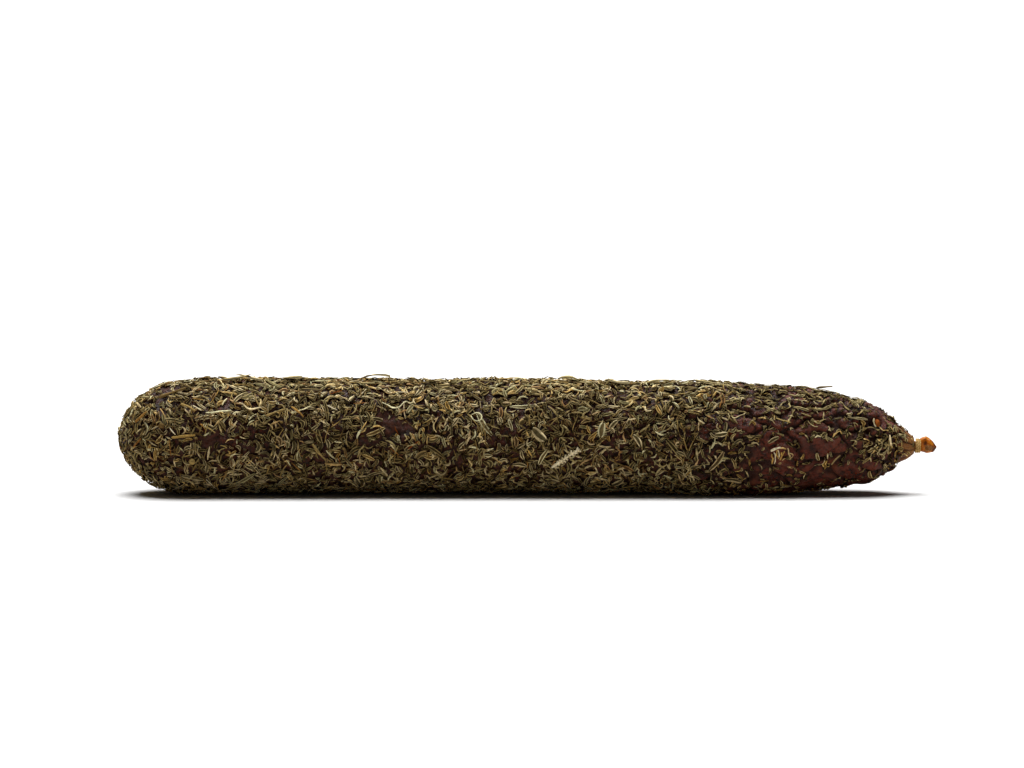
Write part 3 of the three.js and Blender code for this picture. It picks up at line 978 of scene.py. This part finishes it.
def layCrown(bed, look, rng):
    laid = []
    for x, heading, length, width, roll, tone in crownLeaves:
        leaf = leafShape(rng, length * mm, width * mm, roll, 0.3, look["thickness"])
        spot = Vector((low.x + x * mm, middleAt(low.x + x * mm)[0] - 5 * mm, sausageHeight + 5 * mm))
        shape = Shape("open", leaf)
        place = layShape(bed, shape, bed.tree.find(spot)[1], heading, look, force=True)
        laid.append((shape, shapeMatrix(place) @ Matrix.Rotation(-tipUp, 4, "Y"), tone))
    return laid


laidCrown = layCrown(bed, herbs, rng)

crownPiece = finishPiece("crownLeaves", gatherShapes(laidCrown), leafMaterial, ["herb_coat"])
tuneHerbs(crownPiece, laidCrown, herbs, press=False)
for vert in crownPiece.data.vertices:
    vert.co.z = min(vert.co.z, sausageHeight + herbs["topRise"])


# The skin is darker and duller where herbs keep the light off it
def shadeSkin(piece, bed):
    heaped = bed.height - bed.base
    # under: how much painted shade the skin takes, from the heap of herbs on it and across the whole coated
    # part
    shaded = np.maximum(np.clip(heaped / (0.7 * mm), 0, 1), 0.55 * (1 - bed.loose))
    piece.data.attributes["under"].data.foreach_set("value", shaded)
    # faces under a heap of herbs take the shaded, less glossy copy
    for face in piece.data.polygons:
        if min(heaped[index] for index in face.vertices) > 0.15 * mm:
            face.material_index = 1


# All stalks and buds make one piece, the leaves one for each stretch of the length
def joinHerbs(laid, look):
    groups = {}
    for item in laid:
        shape, matrix, tone = item
        column = int((matrix.translation.x - low.x) / sausageLength * look["piecesAlong"])
        column = min(max(column, 0), look["piecesAlong"] - 1)
        name = "Stalks" if shape.kind in ("stalk", "bud") else f"Leaves_{column + 1}"
        groups.setdefault(name, []).append(item)
    for name in sorted(groups):
        isStalk = name == "Stalks"
        piece = finishPiece(f"driedHerb{name}", gatherShapes(groups[name]),
                            stalkMaterial if isStalk else leafMaterial,
                            ["herb_coat"])
        tuneHerbs(piece, groups[name], look)
        print(piece.name, len(groups[name]), "shapes", len(piece.data.polygons), "faces")


shadeSkin(casingPiece, bed)
joinHerbs(laidHerbs, herbs)


# The larger single herbs: each is laid where its CAD solid lies, on top of the heap

singles = {
    "stalk_01": {"piece": "strawStalk", "tone": 0.58},
    "stalk_02": {"piece": "orangeStraw", "tone": 0.63},
    "stalk_03": {"piece": "orangeStalk", "tone": 0.76},
    "stalk_04": {"piece": "paleStalk", "tone": 0.84},
    "stalk_05": {"piece": "brownTwig", "tone": 0.34},
    "stalk_06": {"piece": "dryTwig", "tone": 0.5},
    "stalk_07": {"piece": "rustStalk", "tone": 0.66},
    "stalk_08": {"piece": "yellowStraw", "tone": 0.8},
    "stalk_09": {"piece": "thinTwig", "tone": 0.52},
    "stalk_10": {"piece": "fineStalk", "tone": 0.82},
    "stalk_11": {"piece": "neckStalk", "tone": 0.86},
    "leaf_01": {"piece": "paleLongLeaf", "tone": 0.92, "roll": 1.4},
    "leaf_02": {"piece": "darkBroadLeaf", "tone": 0.44, "roll": 0.9},
    "leaf_03": {"piece": "paleLeaf", "tone": 0.88, "roll": 1.0, "turn": 1.25, "up": 1.2 * mm},
    "leaf_04": {"piece": "creasedLeaf", "tone": 0.55, "roll": 1.8},
    "leaf_05": {"piece": "lowLeaf", "tone": 0.6, "roll": 1.8},
    "leaf_06": {"piece": "greyLeaf", "tone": 0.5, "roll": 2.2},
    "bud_01": {"piece": "brownBud", "tone": 0.26},
    "bud_02": {"piece": "yellowBud", "tone": 0.56},
    "seed_01": {"piece": "orangeSeed", "tone": 0.725},
    "flower_spike_01": {"piece": "flowerSpike", "tone": 0.94},
    "flower_fringe_01": {"piece": "flowerFringe", "tone": 1.0},
}


# Middle, long direction, length and width of a CAD solid
def measureNode(nodeName):
    places = placesOf(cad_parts[nodeName].data)
    middle = places.mean(axis=0)
    spread = places - middle
    axes = np.linalg.eigh(spread.T @ spread)[1]
    reach = spread @ axes
    sizes = reach.max(axis=0) - reach.min(axis=0)
    direction = Vector(axes[:, 2])
    if direction.x < 0:
        direction.negate()
    return Vector(middle), direction, sizes[2], sizes[1]


def addRod(parts, rng, start, end, width, curl, tone):
    shape = Shape("stalk", rodShape(rng, (end - start).length, width, curl, rows=9, sides=7))
    heading = math.atan2(end.y - start.y, end.x - start.x)
    middle = (start + end) / 2
    parts.append((shape, Matrix.Translation(middle) @ Matrix.Rotation(heading, 4, "Z"), tone))


# A toothed spike: a stem with short blunt florets along both sides
def spikeParts(rng, length, width, tone):
    parts = []
    half = Vector((length / 2, 0, 0))
    addRod(parts, rng, -half, half, 0.95 * mm, 0.1, tone)
    teeth = 9
    for i in range(teeth):
        x = length * (0.92 * (i + 0.5) / teeth - 0.46)
        for side in (-1, 1):
            root = Vector((x, 0, 0.1 * mm))
            reach = side * width * rng.uniform(0.14, 0.34)
            tip = root + Vector((rng.uniform(0.4, 1.0) * mm, reach, rng.uniform(0.1, 0.5) * mm))
            addRod(parts, rng, root, tip, 0.78 * mm, 0.5, tone + rng.uniform(-0.06, 0.02))
    return parts


# A torn flower head: a short bent stem with golden threads curling down from it
def fringeParts(rng, length, width, tone):
    parts = []
    top = width * 0.4
    stemFrom, stemTo = Vector((-length * 0.5, top * 0.7, 0)), Vector((-length * 0.05, top * 1.1, 0))
    addRod(parts, rng, stemFrom, stemTo, 0.85 * mm, 1.2, tone - 0.08)
    tipFrom, tipTo = Vector((-length * 0.1, top, 0)), Vector((length * 0.2, top * 0.6, 0))
    addRod(parts, rng, tipFrom, tipTo, 0.6 * mm, 1.0, tone)
    threads = 9
    for i in range(threads):
        x = length * ((i + rng.uniform(0.2, 0.8)) / threads - 0.5)
        reach = width * rng.uniform(0.35, 0.95)
        start = Vector((x, top * rng.uniform(0.1, 0.9), rng.uniform(0, 0.4) * mm))
        end = start + Vector((rng.uniform(-1.4, 0.8) * mm, -reach, 0))
        addRod(parts, rng, start, end, rng.uniform(0.34, 0.62) * mm, 2.4, tone + rng.uniform(-0.08, 0.03))
    return parts


def singleParts(nodeName, options, length, width, rng):
    kind = nodeName.split("_")[0]
    tone = options["tone"]
    if kind == "stalk":
        shape = Shape("stalk", rodShape(rng, length, width, 0.25, rows=16, sides=9, taper=0.35))
    elif kind == "leaf":
        shape = Shape("leaf", leafShape(rng, length, width * 1.25, options["roll"], 0.4, 0.16 * mm, 16, 8))
    elif kind == "seed":
        shape = Shape("bud", budShape(rng, length * 0.88, width * 0.78, 3))
        husk = Shape("stalk", rodShape(rng, length * 1.1, 0.55 * mm, 0.1, rows=14, sides=8, bend=1.4))
        aside = Matrix.Translation((0, -0.5 * width, 0.9 * mm))
        return [(shape, Matrix.Identity(4), tone), (husk, aside, 0.88)]
    elif kind == "bud":
        shape = Shape("bud", budShape(rng, length, width, 3))
    elif "spike" in nodeName:
        return spikeParts(rng, length, width, tone)
    else:
        return fringeParts(rng, length, width, tone)
    return [(shape, Matrix.Identity(4), tone)]


def laySingle(nodeName, options, bed, look, rng):
    middle, direction, length, width = measureNode(nodeName)
    parts = singleParts(nodeName, options, length, width, rng)
    index = bed.tree.find(middle)[1]
    matrix = shapeMatrix(layShape(bed, parts[0][0], index, direction, look, force=True))
    if nodeName == "seed_01":
        matrix = Matrix.Translation(seedPit - seedOut * pit["seedSunk"] - matrix.translation) @ matrix
    matrix = Matrix.Translation((0, 0, options.get("up", 0))) @ matrix
    matrix = matrix @ Matrix.Rotation(options.get("turn", 0), 4, "Z")
    parts = [(shape, matrix @ own, tone) for shape, own, tone in parts]
    isLeaf = nodeName.startswith("leaf")
    material = leafMaterial if isLeaf else stalkMaterial
    piece = finishPiece(options["piece"], gatherShapes(parts), material, [nodeName])
    tuneHerbs(piece, parts, look, press=False)


for nodeName, options in singles.items():
    laySingle(nodeName, options, bed, herbs, rng)
print("single herbs:", len(singles))


# the dried knob of skin beyond the tie

tail = {
    "subdivisions": 5,
    "crumple": 0.26 * mm,
    "depth": 2.1 / 2.6, # front to back against top to bottom
    "along": (0.0, 0.1, 0.35, 0.6, 0.8, 0.95, 1.0),
    "top": (2.6, 2.9, 3.3, 2.8, 1.4, 0.2, -0.2),
    "bottom": (-2.3, -2.4, -2.5, -2.5, -2.4, -1.2, -0.4),
    "pale": (0.72, 0.255, 0.012),
    "amber": (0.46, 0.125, 0.006),
    "brown": (0.1, 0.024, 0.003),
}


def tailMaterial(look):
    material, tree, shader = newMaterial("amberTail")
    place = addNode(tree, "ShaderNodeTexCoord").outputs["Object"]
    broad = addUneven(tree, place, Size=300.0, Detail=2.0, Relief=0.3, Depth=0.0003)
    spots = addUneven(tree, place, Size=700.0, Detail=3.0, Relief=0.35, Depth=0.0002)
    colour = addRamp(tree, broad["Mottle"], [
        (0.36, look["brown"]), (0.48, look["amber"]), (0.62, look["pale"])])
    bubbles = addNode(tree, "ShaderNodeTexVoronoi", {"Vector": place, "Scale": 800.0}).outputs["Distance"]
    colour = mixColour(tree, remap(tree, bubbles, 0.14, 0.3, 0.7, 0.0), colour, look["brown"])
    feedAll(tree, shader, {
        "Base Color": colour, "Roughness": 0.3, "Normal": spots["Normal"], "Specular IOR Level": 0.2,
        "Subsurface Weight": 0.25, "Subsurface Radius": (1.0, 0.4, 0.1), "Subsurface Scale": 0.8 * mm})
    return material


def buildTail(look):
    bm = bmesh.new()
    bmesh.ops.create_icosphere(bm, subdivisions=look["subdivisions"], radius=1)
    start = neckHigh.x - 0.8 * mm
    length = high.x + 0.4 * mm - start
    for vert in bm.verts:
        along = (vert.co.x + 1) / 2
        widest = math.sqrt(max(1e-6, 1 - 0.86 * (2 * along - 1) ** 4))
        ring = min(1.0, math.hypot(vert.co.y, vert.co.z) / widest)
        turn = math.atan2(vert.co.z, vert.co.y)
        top = np.interp(along, look["along"], look["top"]) * mm
        bottom = np.interp(along, look["along"], look["bottom"]) * mm
        middle = (top + bottom) / 2
        half = (top - bottom) / 2
        rise = math.copysign(abs(math.sin(turn)) ** 0.8, math.sin(turn))
        deep = half * look["depth"]
        full = ring ** 0.38
        vert.co = Vector((start + along * length, neckCentre.y + math.cos(turn) * deep * full,
                          neckCentre.z + middle + rise * half * full))
    bm.normal_update()
    for vert in bm.verts:
        fold = noise.ridged_multi_fractal(vert.co / (2.4 * mm), 1.0, 2.1, 3, 0.9, 1.8) - 1.2
        vert.co += vert.normal * fold * look["crumple"]
    return finishPiece("driedTail", bm, tailMaterial(look), ["sausage_body"])


buildTail(tail)
print("neck and tail done")


# two-ply twine round the neck

twine = {
    "ply": 0.2 * mm,
    "spread": 0.16 * mm,
    "turns": 2.7,
    "pitch": 0.58 * mm,
    "twistLength": 1.6 * mm,
    "cream": (0.84, 0.58, 0.23),
    "worn": (0.5, 0.3, 0.09),
}


def twineMaterial(look):
    material, tree, shader = newMaterial("twine")
    place = addNode(tree, "ShaderNodeTexCoord").outputs["Object"]
    fibres = addUneven(tree, place, Size=1500.0, Detail=4.0, Relief=0.6, Depth=0.0002)
    colour = addRamp(tree, fibres["Mottle"], [(0.35, look["worn"]), (0.62, look["cream"])])
    feedAll(tree, shader, {
        "Base Color": colour, "Roughness": 0.8, "Normal": fibres["Normal"], "Specular IOR Level": 0.25})
    return material


# Place on the twine's path: turns round the neck, with a clipped end left standing up
def twinePath(t, look, radius):
    turns = look["turns"]
    turn = 2 * math.pi * turns * t + math.pi * 0.62
    x = (neckLow.x + neckHigh.x) / 2 + look["pitch"] * (turns / 2 - turns * t)
    return Vector((x, neckCentre.y + radius * math.cos(turn), neckCentre.z + radius * math.sin(turn)))


def endPath(t, look, radius):
    root = twinePath(0.98, look, radius)
    lean = Vector((-0.2 * mm, -0.2 * mm, 1.5 * mm)) * t
    return root + lean + Vector((0.5 * mm, 0, 0)) * t * t


def addPly(bm, pathAt, length, look, phase, rows):
    made = bmesh.ops.create_grid(bm, x_segments=rows, y_segments=7, size=0.5)["verts"]
    for vert in made:
        t = vert.co.x + 0.5
        turn = vert.co.y * 2 * math.pi
        place = pathAt(t)
        ahead = (pathAt(min(1.0, t + 0.002)) - pathAt(max(0.0, t - 0.002))).normalized()
        side = ahead.cross(Vector((1, 0.2, 0.1))).normalized()
        up = ahead.cross(side).normalized()
        spiral = 2 * math.pi * t * length / look["twistLength"] + phase
        place = place + (side * math.cos(spiral) + up * math.sin(spiral)) * look["spread"]
        radius = 0 if t < 0.001 or t > 0.999 else look["ply"]
        vert.co = place + (side * math.cos(turn) + up * math.sin(turn)) * radius


def buildTwine(look):
    bm = bmesh.new()
    radius = neckRadius + 0.56 * mm
    around = 2 * math.pi * radius * look["turns"]
    for phase in (0, math.pi):
        addPly(bm, lambda t: twinePath(t, look, radius), around, look, phase, 320)
        addPly(bm, lambda t: endPath(t, look, radius), 1.6 * mm, look, phase, 18)
    bmesh.ops.remove_doubles(bm, verts=bm.verts, dist=0.0005 * mm)
    bmesh.ops.recalc_face_normals(bm, faces=bm.faces)
    return finishPiece("neckTwine", bm, twineMaterial(look), ["neck_tie"])


buildTwine(twine)
print("twine done")


# camera, light and floor

studio = {
    "distance": 1.7,
    "elevation": 5.0,
    "frameWidth": 1.2504 * sausageLength,
    "aimSide": -0.0177 * sausageLength,
    "aimHeight": 0.935 * sausageHeight,
    "keyFrom": (-0.04, 0.18, 1.0),
    "keyStrength": 5.1,
    "keySoftness": 50,
    "fill": 0.032,
    "fillTone": (1.0, 0.95, 0.88),
    "floorTone": 0.9,
    "floorBounce": (0.54, 0.5, 0.45),
}


def buildStudio(look):
    scene = bpy.context.scene
    aim = Vector((look["aimSide"], 0, look["aimHeight"]))
    rise = math.radians(look["elevation"])
    cameraData = bpy.data.cameras.new("camera")
    cameraData.sensor_width = 36
    cameraData.lens = 36 * look["distance"] / look["frameWidth"]
    camera = addObject("camera", cameraData)
    camera.location = aim + Vector((0, -math.cos(rise), math.sin(rise))) * look["distance"]
    camera.rotation_euler = (aim - camera.location).to_track_quat("-Z", "Y").to_euler()
    scene.camera = camera

    bm = bmesh.new()
    bmesh.ops.create_grid(bm, x_segments=4, y_segments=4, size=30)
    floor = addObject("floor", toMesh("floor", bm))
    material, tree, shader = newMaterial("paleFloor")
    seen = addNode(tree, "ShaderNodeLightPath").outputs["Is Camera Ray"]
    floorColour = mixColour(tree, seen, look["floorBounce"], (look["floorTone"],) * 3)
    feedAll(tree, shader, {"Base Color": floorColour, "Roughness": 0.9})
    floor.data.materials.append(material)

    key = bpy.data.lights.new("softKey", "SUN")
    key.energy = look["keyStrength"]
    key.angle = math.radians(look["keySoftness"])
    holder = addObject("softKey", key)
    holder.rotation_euler = Vector(look["keyFrom"]).to_track_quat("Z", "Y").to_euler()

    world = bpy.data.worlds.new("studio")
    world.use_nodes = True
    tree = world.node_tree
    background = tree.nodes["Background"]
    seen = addNode(tree, "ShaderNodeLightPath").outputs["Is Camera Ray"]
    feedAll(tree, background, {
        "Color": mixColour(tree, seen, look["fillTone"], (1.0, 1.0, 1.0)),
        "Strength": remap(tree, seen, 0.0, 1.0, look["fill"], 1.0)})
    scene.world = world
    scene.view_settings.view_transform = "Standard"


buildStudio(studio)
